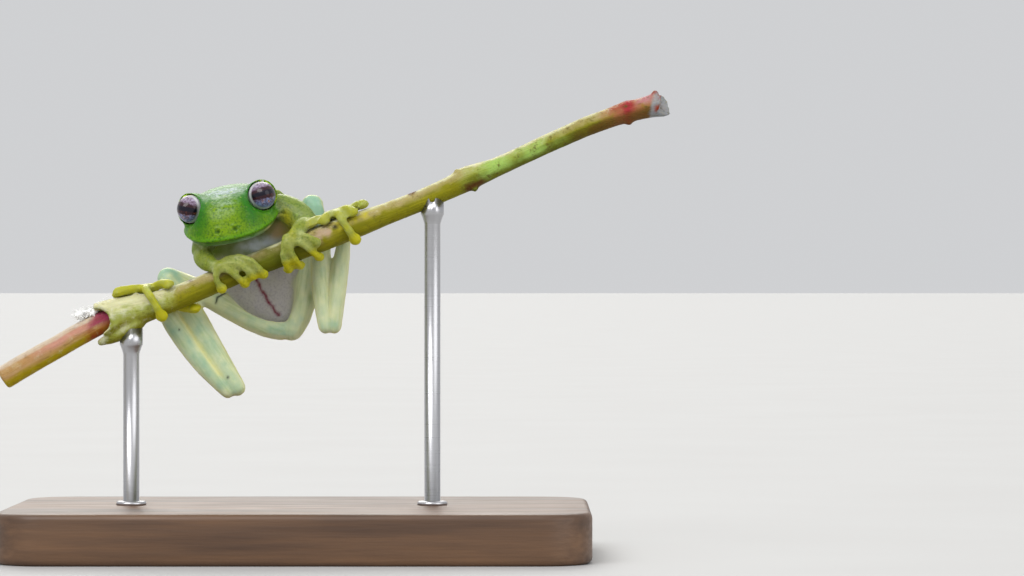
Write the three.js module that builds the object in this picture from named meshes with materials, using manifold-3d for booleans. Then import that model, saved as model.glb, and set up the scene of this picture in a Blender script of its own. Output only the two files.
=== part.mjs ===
// A life-size glass frog clinging behind a slanting green stem, on a plain display stand.
// Millimetres, +Z up, +X to the viewer's right, -Y towards the viewer. The origin is the middle of
// the base's underside. "Left" and "right" in names are the frog's own sides: its left is at +X.

import * as THREE from "three";
import { mergeVertices } from "three/addons/utils/BufferGeometryUtils.js";
import Module from "manifold-3d";

const wasm = await Module();
wasm.setup();

// Driving dimensions
const GAP = 0.25; // between solids that touch
const EYE_RADIUS = 1.42;
const EYE_PLACE = { spread: 3.62, ahead: 0.65, above: 0.2 }; // each eye's centre, from the head's middle
const EYE_OPENING = { radius: 2.28, ahead: 1.9 }; // the hollow that bares the front of each eye
const HEAD = { width: 4.8, snout: 4.7, nape: 4.5, squareness: 2.4, setBack: -0.7, lipHeight: -2.05 };
const NOSTRIL = { spread: 0.85, ahead: 4.85, above: -1.2, radius: 0.24 };
const HEAD_TURN = { roll: 12.5, pitch: 22, yaw: 5 }; // degrees
const DIGIT = 0.37; // radius of a finger or toe
const DISC = { wide: 0.62, long: 0.55, thick: 0.24 };
const BASE = { length: 58, depth: 34, height: 5, corner: 5, edge: 0.6 };
const ROD = { radius: 0.8, head: 1.15, headLength: 2.2 };
const ROD_PLACES = { left: -17.0, right: 13.2 };

const vec = (x, y, z) => new THREE.Vector3(x, y, z);
const radians = THREE.MathUtils.degToRad;

// Solids

// A closed geometry as a manifold solid: shared corners merged, and the slivers at the poles dropped.
function solid(geometry) {
  const bare = new THREE.BufferGeometry().setAttribute("position", geometry.getAttribute("position"));
  bare.setIndex(geometry.index);
  const merged = mergeVertices(bare, 1e-4);
  const kept = [];
  const index = merged.index.array;
  for (let i = 0; i < index.length; i += 3) {
    const [a, b, c] = [index[i], index[i + 1], index[i + 2]];
    if (a !== b && b !== c && c !== a) kept.push(a, b, c);
  }
  const vertProperties = merged.attributes.position.array;
  const closed = () => {
    const mesh = new wasm.Mesh({ numProp: 3, vertProperties, triVerts: new Uint32Array(kept) });
    return new wasm.Manifold(mesh);
  };
  const made = closed();
  if (made.volume() > 0) return made;
  for (let i = 0; i < kept.length; i += 3) [kept[i + 1], kept[i + 2]] = [kept[i + 2], kept[i + 1]];
  return closed();
}

const union = (pieces) => pieces.reduce((whole, piece) => whole.add(piece));

// The largest closed surface of a cut solid, so that no loose scrap is kept.
const larger = (best, part) => (part.volume() > best.volume() ? part : best);
const largest = (cut) => cut.decompose().reduce(larger);

// What is left of a solid once it is cut clear of its grown neighbours.
const cutBy = (piece, others) => others.reduce((rest, other) => rest.subtract(other), piece);
const clearOf = (piece, neighbours) => largest(cutBy(piece, neighbours));

function named(name, piece, material) {
  const { numProp, numVert, vertProperties, triVerts } = piece.getMesh();
  const positions = new Float32Array(numVert * 3);
  for (let i = 0; i < numVert; i++) {
    positions.set(vertProperties.subarray(i * numProp, i * numProp + 3), i * 3);
  }
  const geometry = new THREE.BufferGeometry();
  geometry.setAttribute("position", new THREE.BufferAttribute(positions, 3));
  geometry.setIndex(new THREE.BufferAttribute(triVerts, 1));
  geometry.computeVertexNormals();
  const mesh = new THREE.Mesh(geometry, material);
  mesh.name = name;
  return mesh;
}

// A limb: a lathed rod with round ends, bent along a smooth curve. Each station is
// [x, y, z, half width, half depth], and the depth lies along "lean".
const CAP_RINGS = 3;
function limb(stations, { sides = 12, steps = 12, grow = 0, lean = vec(0, -1, 0) } = {}) {
  const spine = new THREE.CatmullRomCurve3(stations.map(([x, y, z]) => vec(x, y, z)));
  const girth = new THREE.CatmullRomCurve3(stations.map((s) => vec(s[3], s[4] ?? s[3], 0)));
  const profile = [];
  for (let i = 0; i < CAP_RINGS; i++) {
    const turn = ((i / CAP_RINGS) * Math.PI) / 2;
    profile.push(new THREE.Vector2(Math.sin(turn), -Math.cos(turn)));
  }
  for (let i = 0; i <= steps; i++) profile.push(new THREE.Vector2(1, i / steps));
  for (let i = 1; i <= CAP_RINGS; i++) {
    const turn = ((i / CAP_RINGS) * Math.PI) / 2;
    profile.push(new THREE.Vector2(i === CAP_RINGS ? 0 : Math.cos(turn), 1 + Math.sin(turn)));
  }
  const lathe = new THREE.LatheGeometry(profile, sides);
  const place = lathe.getAttribute("position");
  for (let i = 0; i < place.count; i++) {
    const [across, along, towards] = [place.getX(i), place.getY(i), place.getZ(i)];
    const u = THREE.MathUtils.clamp(along, 0, 1);
    const beyond = along - u;
    const tangent = spine.getTangent(u);
    const front = lean.clone().addScaledVector(tangent, -lean.dot(tangent)).normalize();
    const side = tangent.clone().cross(front);
    const radius = girth.getPoint(u);
    const point = spine
      .getPoint(u)
      .addScaledVector(side, across * (radius.x + grow))
      .addScaledVector(front, towards * (radius.y + grow))
      .addScaledVector(tangent, beyond * (Math.min(radius.x, radius.y) + grow));
    place.setXYZ(i, point.x, point.y, point.z);
  }
  return solid(lathe);
}

function ball(centre, radius, sides = 20) {
  const sphere = new THREE.SphereGeometry(radius, sides, Math.round(sides * 0.6));
  return solid(sphere.translate(...centre.toArray()));
}

// The stem: [x, z, radius] where its centreline passes, in the plane y = 0

const STEM = [
  [-20.6, 22.95, 2.15],
  [-18.6, 23.85, 1.85],
  [-16.4, 24.45, 1.6],
  [-13.8, 25.2, 1.28],
  [-9.7, 26.8, 1.2],
  [-5, 28.85, 1.22],
  [-1, 30.4, 1.25],
  [2, 31.6, 1.34],
  [5, 32.75, 1.32],
  [8.6, 34.1, 1.12],
  [14, 36.25, 1.08],
  [17, 37.75, 1.28],
  [19, 38.5, 1.0],
  [22, 39.85, 0.95],
  [28, 42.6, 1.0],
  [31.8, 44.0, 1.02],
  [32.7, 44.3, 1.16],
  [34.0, 44.6, 1.06],
  [36.6, 45.25, 1.42],
];
// The torn lip that hangs from the sheath: [x, z, half width, half depth]
const SHEATH_LIP = [
  [-16.2, 23.3, 0.8, 1.3],
  [-18.3, 22.05, 0.8, 1.2],
  [-19.9, 21.3, 0.4, 0.7],
];
const PETIOLE = [
  [-30, 17.5, 1.22],
  [-27, 19.3, 1.2],
  [-24, 20.95, 1.15],
  [-21.5, 22.4, 1.15],
  [-18.2, 24.0, 1.1],
];
const stemLine = new THREE.CatmullRomCurve3(STEM.map(([x, z]) => vec(x, 0, z)));
const stemGirth = new THREE.CatmullRomCurve3(STEM.map(([x, , radius]) => vec(x, radius, 0)));

// The stem's centre, radius, direction and upward normal at a place x along it.
function stemAt(x) {
  let [low, high] = [0, 1];
  for (let i = 0; i < 30; i++) {
    const middle = (low + high) / 2;
    if (stemLine.getPoint(middle).x < x) low = middle;
    else high = middle;
  }
  const along = stemLine.getTangent(low);
  return {
    centre: stemLine.getPoint(low),
    radius: stemGirth.getPoint(low).y,
    along,
    up: vec(-along.z, 0, along.x),
  };
}

// A point beside the stem: turn is in degrees from its top, over the front, to its underside at 180.
function onStem(x, turn, lift) {
  const { centre, radius, up } = stemAt(x);
  return centre
    .addScaledVector(up, Math.cos(radians(turn)) * (radius + lift))
    .add(vec(0, -Math.sin(radians(turn)) * (radius + lift), 0));
}

const stemRow = (rows) => rows.map(([x, z, radius]) => [x, 0, z, radius]);
function stemSolid(grow = 0) {
  return limb(stemRow(STEM), { sides: 12, steps: 28, grow });
}

const sheathLip = (grow = 0) =>
  limb(
    SHEATH_LIP.map(([x, z, width, depth]) => [x, 0, z, width, depth]),
    { sides: 10, steps: 4, grow },
  );

// The sheath's broken end: a flat cut, a hollow at its front and ragged teeth round its rim.
const SHEATH_TEETH = 9;
function sheathCutters() {
  const mouth = stemAt(STEM[1][0]);
  const cutters = [];
  const away = mouth.along.clone().negate();
  const turned = new THREE.Quaternion().setFromUnitVectors(vec(0, 1, 0), away);
  for (let i = 0; i < SHEATH_TEETH; i++) {
    const turn = ((i + 0.5) / SHEATH_TEETH) * 360;
    const notch = new THREE.ConeGeometry(0.65, 2.0 + 0.9 * (i % 3), 6).rotateX(Math.PI);
    notch.applyQuaternion(turned);
    const at = onStem(-19.9, turn, 0).addScaledVector(away, 0.3 * (i % 2));
    cutters.push(solid(notch.translate(at.x, at.y, at.z)));
  }
  const flat = new THREE.CylinderGeometry(3.5, 3.5, 4, 24).applyQuaternion(turned);
  const end = mouth.centre.clone().addScaledVector(away, 3.6);
  cutters.push(solid(flat.translate(end.x, end.y, end.z)));
  cutters.push(ball(vec(-20.3, -1.7, 23.3), 1.5, 12));
  return cutters;
}

// The stem's far end: a slanting break, and the knobs of old buds along its length.
const BUDS = [
  [17.0, 165, 0.42],
  [16.2, 10, 0.3],
  [32.6, 175, 0.36],
  [35.8, 20, 0.4],
  [-16.0, 5, 0.36],
  [-8.4, 5, 0.24],
];
function stemPiece() {
  const buds = BUDS.map(([x, turn, radius]) => ball(onStem(x, turn, -0.08), radius, 10));
  const breakAway = new THREE.CylinderGeometry(3, 3, 4, 20)
    .rotateZ(-Math.PI / 2)
    .rotateY(radians(8))
    .rotateZ(radians(35))
    .translate(38.6, -1.0, 46.15);
  const broken = cutBy(union([stemSolid(), ...buds]), [...sheathCutters(), solid(breakAway)]);
  return largest(broken.add(sheathLip()).subtract(petiole(GAP)));
}

function petiole(grow = 0) {
  return limb(stemRow(PETIOLE), { sides: 12, steps: 6, grow });
}

// The frog's head, made about the middle of its two eyes: x to its left, y back, z up

const headFrame = new THREE.Matrix4()
  .makeTranslation(-7.4, 1.6, 35.35)
  .multiply(new THREE.Matrix4().makeRotationY(radians(-HEAD_TURN.roll)))
  .multiply(new THREE.Matrix4().makeRotationX(radians(HEAD_TURN.pitch)))
  .multiply(new THREE.Matrix4().makeRotationZ(radians(-HEAD_TURN.yaw)));
const inHead = (x, y, z) => vec(x, y, z).applyMatrix4(headFrame);
const EYE_LOOK = vec(0.5, -0.76, 0.41).normalize(); // the way the left eye faces, in the head

// The head's outline from crown to throat, as [share of the plan's radius, height]: a flat crown, sloping
// cheeks, the lip, the groove of the mouth and the shallow lower jaw.
const SKULL_ROWS = [
  [0, 1.3], [0.3, 1.28], [0.5, 1.18], [0.66, 0.9], [0.78, 0.3], [0.87, -0.45], [0.94, -1.15], [0.985, -1.7],
  [1.0, -1.95], [0.985, -2.1], [0.94, -2.16], [0.945, -2.26], [0.925, -2.5], [0.84, -2.85], [0.6, -3.2],
  [0.3, -3.35], [0, -3.35],
];
function skull(grow = 0) {
  const profile = SKULL_ROWS.map(([share, height]) => new THREE.Vector2(share, height)).reverse();
  const shape = new THREE.LatheGeometry(profile, 32);
  const place = shape.getAttribute("position");
  for (let i = 0; i < place.count; i++) {
    const [x, height, y] = [place.getX(i), place.getY(i), -place.getZ(i)];
    const share = Math.hypot(x, y);
    const [across, ahead] = share > 0 ? [x / share, y / share] : [0, 1];
    const power = HEAD.squareness;
    const square = (Math.abs(across) ** power + Math.abs(ahead) ** power) ** (-1 / power);
    const front = Math.max(0, -y);
    const above = height - HEAD.lipHeight;
    const slope = above > 0 ? 1 - 0.3 * front ** 2 : 1 - 0.25 * front ** 2;
    const reach = square * share;
    place.setXYZ(
      i,
      across * reach * (HEAD.width + grow) * (1 - 0.12 * front),
      HEAD.setBack + ahead * reach * ((ahead < 0 ? HEAD.snout : HEAD.nape) + grow),
      HEAD.lipHeight + above * slope + grow * Math.sign(above) * (1 - share),
    );
  }
  return solid(shape.applyMatrix4(headFrame));
}

const eyeCentre = (side) => vec(side * EYE_PLACE.spread, -EYE_PLACE.ahead, EYE_PLACE.above);

function eyeAt(side, grow = 0, offset = 0, sides = 16) {
  const look = vec(side * EYE_LOOK.x, EYE_LOOK.y, EYE_LOOK.z);
  const centre = eyeCentre(side).addScaledVector(look, offset);
  return ball(centre.applyMatrix4(headFrame), EYE_RADIUS + grow, sides);
}
const eyeOpening = (side) => eyeAt(side, EYE_OPENING.radius - EYE_RADIUS, EYE_OPENING.ahead, 14);

// The raised ring of the lids round each eye, and the mound that it stands on.
function eyeMound(side) {
  const ring = new THREE.TorusGeometry(EYE_RADIUS, 0.27, 6, 20);
  const look = vec(side * EYE_LOOK.x, EYE_LOOK.y, EYE_LOOK.z);
  ring.applyQuaternion(new THREE.Quaternion().setFromUnitVectors(vec(0, 0, 1), look));
  const at = eyeCentre(side).addScaledVector(look, 0.2);
  return solid(ring.translate(at.x, at.y, at.z).applyMatrix4(headFrame)).add(eyeAt(side, 0.22, -0.5));
}

function nostril(side) {
  return ball(inHead(side * NOSTRIL.spread, -NOSTRIL.ahead, NOSTRIL.above), NOSTRIL.radius, 8);
}

// The trunk, from the nape behind the stem down to the vent: [x, y, z, half width, half depth]
const TRUNK = [
  [-5.3, 4.4, 34.4, 4.2, 2.1],
  [-4.7, 5.0, 32.7, 5.1, 2.9],
  [-4.3, 5.2, 29.8, 4.8, 3.2],
  [-3.9, 5.3, 26.8, 3.5, 3.0],
  [-2.6, 5.6, 24.6, 2.4, 2.2],
  [-1.6, 5.7, 23.2, 1.3, 1.3],
];
const trunk = (grow = 0) => limb(TRUNK, { sides: 20, steps: 12, grow });

// Limbs

const LIMBS = {
  right: {
    thigh: [[-1.9, 4.9, 22.6, 1.2, 1.3], [-3.4, 4.8, 22.75, 1.12, 1.35], [-6.0, 4.7, 23.85, 1.1, 1.35],
      [-9.6, 4.5, 26.0, 1.2, 1.35], [-13.6, 4.3, 27.7, 1.1, 1.05]],
    shank: [[-13.6, 3.9, 27.6, 1.05, 0.95], [-11.4, 3.3, 24.5, 1.32, 1.15], [-8.8, 2.6, 20.1, 1.25, 1.05],
      [-6.4, 2.1, 16.65, 0.85, 0.8]],
    tarsus: [[-7.35, 2.1, 16.4, 0.8, 0.78], [-10.0, 2.15, 19.2, 1.0, 0.88], [-12.6, 2.4, 22.6, 1.0, 0.8],
      [-14.3, 2.15, 25.4, 0.66, 0.52]],
    upper_arm: [[-8.0, 4.0, 32.6, 1.3, 1.1], [-9.5, 3.1, 31.7, 1.25, 1.1], [-10.0, 2.0, 30.5, 1.05, 1.0]],
    forearm: [[-9.9, 1.6, 30.1, 1.0, 0.95], [-9.5, 0.1, 29.5, 0.98, 0.85], [-8.6, -1.0, 28.9, 0.68, 0.55]],
  },
  left: {
    thigh: [[-1.1, 4.9, 22.6, 1.25, 1.3], [0.1, 4.8, 24.9, 1.22, 1.35], [0.2, 4.8, 28.0, 1.2, 1.35],
      [0.6, 4.9, 31.8, 1.2, 1.3], [1.0, 4.8, 35.1, 1.15, 1.05]],
    shank: [[1.25, 4.4, 34.8, 1.0, 1.0], [1.9, 3.6, 31.0, 1.0, 1.05], [2.0, 2.9, 26.5, 0.95, 1.0],
      [2.45, 2.4, 22.85, 0.75, 0.75]],
    tarsus: [[3.3, 2.4, 22.85, 0.75, 0.75], [3.65, 2.5, 26.5, 0.88, 0.85], [4.05, 2.6, 29.6, 0.82, 0.72],
      [4.4, 2.3, 32.3, 0.58, 0.5]],
    upper_arm: [[-2.6, 3.4, 34.9, 1.45, 1.3], [-0.9, 2.8, 34.3, 1.5, 1.25], [0.35, 2.0, 33.4, 1.3, 1.1],
      [0.6, 1.5, 32.8, 1.15, 1.0]],
    forearm: [[0.6, 1.2, 32.7, 1.1, 1.0], [0.35, 0.0, 32.8, 1.02, 0.9], [-0.45, -1.4, 31.95, 0.7, 0.55]],
  },
};

// Each hand and foot: where its palm lies on the stem, then its digits, each a list of
// [x, turn] places round the stem that end at its disc
const LIFT = GAP + DIGIT;
const GRIPS = {
  right_hand: {
    palm: [[-8.0, 44], [-7.4, 56]],
    digits: [
      [[-7.6, 42], [-6.3, 34], [-5.0, 58], [-4.2, 105], [-4.05, 138]],
      [[-7.4, 55], [-6.8, 78], [-6.4, 105], [-6.0, 146]],
      [[-7.7, 55], [-8.2, 82], [-8.1, 124]],
      [[-7.4, 48], [-6.1, 60], [-5.3, 96], [-5.05, 126]],
    ],
  },
  left_hand: {
    palm: [[-0.75, 48], [-0.85, 64]],
    digits: [
      [[-0.9, 56], [-1.6, 85], [-1.75, 120], [-1.7, 165]],
      [[-0.85, 60], [-0.85, 92], [-0.75, 130], [-0.6, 172]],
      [[-0.7, 55], [0.2, 80], [0.95, 118], [1.35, 158]],
      [[-0.7, 50], [0.35, 58], [1.15, 74], [1.6, 98]],
    ],
  },
  right_foot: {
    palm: [[-14.4, -68], [-14.7, -28]],
    digits: [
      [[-14.7, -30], [-15.6, -8], [-16.6, 2], [-17.6, 8]],
      [[-14.7, -30], [-14.9, 20], [-14.4, 75], [-14.1, 135]],
      [[-14.6, -35], [-13.7, -10], [-13.0, 12], [-12.55, 28]],
      [[-14.4, -60], [-13.2, -100], [-12.0, -135], [-11.1, -165]],
      [[-14.7, -35], [-15.8, -30], [-16.9, -22], [-17.8, -26]],
    ],
  },
  left_foot: {
    palm: [[4.45, -68], [4.3, -28]],
    digits: [
      [[4.3, -30], [4.35, 20], [4.7, 75], [5.1, 138]],
      [[4.35, -30], [5.0, -5], [5.5, 22], [5.75, 42]],
      [[4.25, -35], [3.7, -5], [3.3, 18], [3.0, 34]],
      [[4.2, -40], [3.0, -22], [2.2, 4], [1.65, 20]],
      [[4.5, -60], [5.4, -30], [6.2, -12], [6.9, 4]],
    ],
  },
};

function digit(places, grow) {
  const stations = places.map(([x, turn], i) => {
    const tapered = DIGIT * (i === 0 ? 1.25 : 1);
    return [...onStem(x, turn, LIFT).toArray(), tapered, tapered];
  });
  const [x, turn] = places.at(-1);
  const [beforeX, beforeTurn] = places.at(-2);
  const outward = onStem(x, turn, 1).sub(onStem(x, turn, 0)).normalize();
  const tip = onStem(x, turn, GAP + DISC.thick);
  const away = tip.clone().sub(onStem(beforeX, beforeTurn, GAP + DISC.thick)).normalize();
  const side = outward.clone().cross(away).normalize();
  const disc = new THREE.SphereGeometry(1, 8, 5);
  const place = disc.getAttribute("position");
  for (let i = 0; i < place.count; i++) {
    const point = tip
      .clone()
      .addScaledVector(side, place.getX(i) * (DISC.wide + grow))
      .addScaledVector(away, place.getY(i) * (DISC.long + grow))
      .addScaledVector(outward, place.getZ(i) * (DISC.thick + grow));
    place.setXYZ(i, point.x, point.y, point.z);
  }
  return limb(stations, { sides: 6, steps: 5, grow, lean: vec(0.3, -0.2, 0.93) }).add(solid(disc));
}

function grip({ palm, digits }, grow = 0) {
  const pad = palm.map(([x, turn]) => [...onStem(x, turn, LIFT + 0.08).toArray(), 0.55, 0.42]);
  return union([limb(pad, { sides: 8, steps: 2, grow }), ...digits.map((places) => digit(places, grow))]);
}

// The frog

const COLOURS = {
  head_green: [0x4f9e12, 0.35],
  back_green: [0x9db878, 0.4],
  limb_green: [0xb9cfa0, 0.35],
  digit_yellow: [0xb9b53c, 0.4],
  eye_silver: [0xb7a9b9, 0.1],
  stem_green: [0x93951a, 0.6],
  petiole_pink: [0xc99a6a, 0.6],
  base_wood: [0x5a3c26, 0.5],
  rod_steel: [0xb8b8ba, 0.35],
};
const finish = (slot) =>
  new THREE.MeshStandardMaterial({
    color: COLOURS[slot][0],
    roughness: COLOURS[slot][1],
    metalness: slot === "rod_steel" ? 1 : 0,
  });

const frog = new THREE.Group();
const grownStem = stemSolid(GAP);
const grownPetiole = petiole(GAP);

// The nape: head and trunk are parted by one thin plane cut.
const nape = inHead(0, 2.7, -1.6);
const napeWay = vec(0, 0.93, -0.37).transformDirection(headFrame);
const napeBack = napeWay.clone().negate();
const cutHead = (whole) => whole.trimByPlane(napeBack.toArray(), napeBack.dot(nape) + GAP / 2);
const cutTrunk = (whole) => whole.trimByPlane(napeWay.toArray(), napeWay.dot(nape) + GAP / 2);

let head = union([skull(), eyeMound(1), eyeMound(-1)]);
for (const side of [1, -1]) {
  head = cutBy(head, [eyeAt(side, 0.18), eyeOpening(side), nostril(side)]);
}
head = largest(cutHead(head).subtract(grownStem));
frog.add(named("head", head, finish("head_green")));
frog.add(named("eye_left", eyeAt(1), finish("eye_silver")));
frog.add(named("eye_right", eyeAt(-1), finish("eye_silver")));

const torso = largest(cutTrunk(trunk()).subtract(grownStem).subtract(skull(GAP)));
frog.add(named("torso", torso, finish("back_green")));

// Each leg and arm in turn is cut clear of all that is already there.
const present = [grownStem, grownPetiole, trunk(GAP), skull(GAP), eyeAt(1, GAP + 0.3, -0.5)];
const ORDER = ["thigh", "shank", "tarsus", "upper_arm", "forearm"];
const LIMB_MESH = { sides: 12, steps: 7 };
for (const side of ["left", "right"]) {
  const grown = [...present];
  if (side === "right") grown.push(limb(LIMBS.left.thigh, { ...LIMB_MESH, grow: GAP }));
  for (const part of ORDER) {
    const stations = LIMBS[side][part];
    frog.add(named(part + "_" + side, clearOf(limb(stations, LIMB_MESH), grown), finish("limb_green")));
    grown.push(limb(stations, { ...LIMB_MESH, grow: GAP }));
  }
  for (const end of ["hand", "foot"]) {
    const piece = grip(GRIPS[side + "_" + end]);
    frog.add(named(end + "_" + side, clearOf(piece, grown), finish("digit_yellow")));
    grown.push(grip(GRIPS[side + "_" + end], GAP));
  }
}

// The perch and its stand

frog.add(named("perch_stem", stemPiece(), finish("stem_green")));
const cutPetiole = petiole().trimByPlane([0.85, 0, 0.53], -15.9);
frog.add(named("perch_petiole", largest(cutPetiole), finish("petiole_pink")));

function basePlate() {
  const { length, depth, height, corner, edge } = BASE;
  const [x, y] = [length / 2 - edge, depth / 2 - edge];
  const round = corner - edge;
  const outline = new THREE.Shape()
    .moveTo(-x + round, -y)
    .lineTo(x - round, -y)
    .absarc(x - round, -y + round, round, -Math.PI / 2, 0)
    .lineTo(x, y - round)
    .absarc(x - round, y - round, round, 0, Math.PI / 2)
    .lineTo(-x + round, y)
    .absarc(-x + round, y - round, round, Math.PI / 2, Math.PI)
    .lineTo(-x, -y + round)
    .absarc(-x + round, -y + round, round, Math.PI, 1.5 * Math.PI);
  const plate = new THREE.ExtrudeGeometry(outline, {
    depth: height - 2 * edge,
    bevelThickness: edge,
    bevelSize: edge,
    bevelSegments: 2,
    curveSegments: 4,
  });
  return solid(plate.translate(0, 0, edge));
}

// A rod with a flared head, hollowed to carry the stem from below.
function rod(x) {
  const { centre, radius } = stemAt(x);
  const top = centre.z - radius * 0.35;
  const foot = BASE.height + GAP;
  const profile = [
    [0, foot],
    [ROD.radius, foot],
    [ROD.radius, top - ROD.headLength],
    [ROD.head, top - ROD.headLength * 0.55],
    [ROD.head, top],
    [0, top],
  ].map(([r, z]) => new THREE.Vector2(r, z));
  const turned = new THREE.LatheGeometry(profile, 14).rotateX(Math.PI / 2).translate(x, 0, 0);
  return clearOf(solid(turned), [grownStem, grownPetiole, sheathLip(GAP)]);
}

frog.add(named("stand_base", basePlate(), finish("base_wood")));
for (const [side, x] of Object.entries(ROD_PLACES)) {
  frog.add(named("stand_rod_" + side, rod(x), finish("rod_steel")));
}

export default frog;
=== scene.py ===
# A life-size glass frog that clings behind a slanting green stem, on a plain display stand.
# Metres, +Z up, +X to the viewer's right, the viewer on the -Y side. Left and right are the frog's own.
# Masks of colour are worked out in millimetres.

import math
import random

import bmesh
import bpy
import numpy as np
from mathutils import Matrix, Vector
from mathutils.bvhtree import BVHTree


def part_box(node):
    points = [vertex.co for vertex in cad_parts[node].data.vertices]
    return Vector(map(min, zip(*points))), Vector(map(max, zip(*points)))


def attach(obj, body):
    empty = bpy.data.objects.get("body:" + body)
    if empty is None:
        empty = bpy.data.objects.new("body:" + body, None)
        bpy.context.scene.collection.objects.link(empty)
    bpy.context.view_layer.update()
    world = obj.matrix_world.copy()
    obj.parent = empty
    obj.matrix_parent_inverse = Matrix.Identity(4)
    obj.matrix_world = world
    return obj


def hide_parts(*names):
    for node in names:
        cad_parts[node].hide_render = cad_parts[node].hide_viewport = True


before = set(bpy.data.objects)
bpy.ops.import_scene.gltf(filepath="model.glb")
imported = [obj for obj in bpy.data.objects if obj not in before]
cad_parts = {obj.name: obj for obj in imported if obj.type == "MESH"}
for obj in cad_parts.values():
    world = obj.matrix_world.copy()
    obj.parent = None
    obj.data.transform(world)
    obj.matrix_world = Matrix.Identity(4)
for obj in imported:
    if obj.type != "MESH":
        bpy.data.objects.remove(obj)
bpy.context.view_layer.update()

# Driving dimensions
MM = 0.001
VOXEL = 0.135 * MM  # grid that the skin is fused on
FUSE = 0.15 * MM  # swelling that closes the gaps between the frog's solids
SHRINK = -0.75 * FUSE  # smoothing has taken the rest of the swelling back
PLUMP = 0.08 * MM  # the toes are fuller than their solids
STEM_VOXEL = 0.16 * MM
BASE_CORNER = 5 * MM
BASE_EDGE = 0.6 * MM

# The head's place, and the places in its own axes; left ones are mirrored for the right
HEAD_MIDDLE = Vector((-7.4, 1.6, 35.35)) * MM
HEAD_TURN = {"Y": -12.5, "X": 22, "Z": -5}  # degrees, in this order
EYE_RADIUS = 1.42 * MM
EYE_PLACE = Vector((3.62, -0.65, 0.2)) * MM
EYE_LOOK = Vector((0.5, -0.76, 0.41)).normalized()
CORNEA = 0.1 * EYE_RADIUS  # how far the eye's front bulges
NOSTRIL = Vector((0.85, -4.85, -1.2))  # in millimetres, as the next two are
LIP_HEIGHT = -2.05
MOUTH_MIDDLE = Vector((0, -0.7))

# The photograph's view: where the viewer is, and how much the picture's width shows at the frog
VIEWER = Vector((21.2, -400, 26.7)) * MM
PICTURE_WIDTH = 102.4 * MM
SENSOR = 36  # the camera's, in millimetres

STEM_SLOPE = Vector((0.931, 0, 0.365))
LIMBS = ["thigh", "shank", "tarsus", "upper_arm", "forearm"]
ENDS = ["hand", "foot"]
SIDES = ["left", "right"]
FLESH = ["head", "torso"] + [f"{part}_{side}" for part in LIMBS + ENDS for side in SIDES]

random.seed(7)


# Shapes


def head_place():
    """The head's own axes: x to its left, y back and z up, about the middle of its eyes."""
    place = Matrix.Translation(HEAD_MIDDLE)
    for axis, degrees in HEAD_TURN.items():
        place = place @ Matrix.Rotation(math.radians(degrees), 4, axis)
    return place


HEAD = head_place()


def mirrored(place, side):
    """A place or way on the left of the head, or for side -1 its mirror image on the right."""
    return Vector((side * place.x, place.y, place.z))


def solid_copy(node):
    """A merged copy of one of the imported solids."""
    shape = bmesh.new()
    shape.from_mesh(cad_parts[node].data)
    bmesh.ops.remove_doubles(shape, verts=shape.verts, dist=1e-6)
    shape.normal_update()
    return shape


def swell(shape, by):
    """Moves each point along its normal."""
    shape.normal_update()
    for vert in shape.verts:
        vert.co += vert.normal * by


def piece(name, shape, material):
    """A finished piece of the model, made from a bmesh."""
    mesh = bpy.data.meshes.new(name)
    shape.to_mesh(mesh)
    shape.free()
    mesh.shade_smooth()
    mesh.materials.append(material)
    made = bpy.data.objects.new(name, mesh)
    bpy.context.scene.collection.objects.link(made)
    return made


def fused(shapes, voxel):
    """One closed surface round several that overlap."""
    whole = bmesh.new()
    for shape in shapes:
        mesh = bpy.data.meshes.new("loose")
        shape.to_mesh(mesh)
        shape.free()
        whole.from_mesh(mesh)
        bpy.data.meshes.remove(mesh)
    rough = piece("rough", whole, None)
    remesh = rough.modifiers.new("Fuse", "REMESH")
    remesh.mode = "VOXEL"
    remesh.voxel_size = voxel
    grid = bpy.data.meshes.new_from_object(rough.evaluated_get(bpy.context.evaluated_depsgraph_get()))
    result = bmesh.new()
    result.from_mesh(grid)
    bpy.data.objects.remove(rough)
    bpy.data.meshes.remove(grid)
    return result


def smoothed(shape, rounds):
    """Evens out a fused surface."""
    for _ in range(rounds):
        bmesh.ops.smooth_vert(
            shape, verts=shape.verts, factor=0.5, use_axis_x=True, use_axis_y=True, use_axis_z=True
        )
    return shape


def points_of(made):
    """Places and normals of a piece's points, in millimetres."""
    count = len(made.data.vertices)
    places = np.zeros(count * 3, np.float32)
    normals = np.zeros(count * 3, np.float32)
    made.data.vertices.foreach_get("co", places)
    made.data.vertices.foreach_get("normal", normals)
    return places.reshape(-1, 3) / MM, normals.reshape(-1, 3)


def step(value, low, high):
    """0 below low and 1 above high, with a smooth change between; the other way round if high < low."""
    share = np.clip((value - low) / (high - low), 0, 1)
    return share * share * (3 - 2 * share)


def bell(value, width):
    """1 at 0, fading over the width on both sides."""
    return np.exp(-((value / width) ** 2))


def near_line(places, line, width):
    """1 on a line of [x, z] places as the viewer sees them, fading over the width."""
    flat = places[:, [0, 2]]
    nearest = np.full(len(flat), 1e9)
    for start, end in zip(line, line[1:]):
        start = np.array(start)
        way = np.array(end) - start
        share = np.clip(((flat - start) @ way) / (way @ way), 0, 1)
        nearest = np.minimum(nearest, np.linalg.norm(flat - start - share[:, None] * way, axis=1))
    return bell(nearest, width)


def near_spot(places, spot, width):
    """1 at a place, fading over the width all round."""
    return bell(np.linalg.norm(places - np.array(spot), axis=1), width)


def paint(made, masks):
    """Keeps each mask as an attribute of the piece's points."""
    for name, values in masks.items():
        layer = made.data.attributes.new(name, "FLOAT", "POINT")
        layer.data.foreach_set("value", np.ascontiguousarray(np.clip(values, 0, 1), dtype=np.float32))


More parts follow.
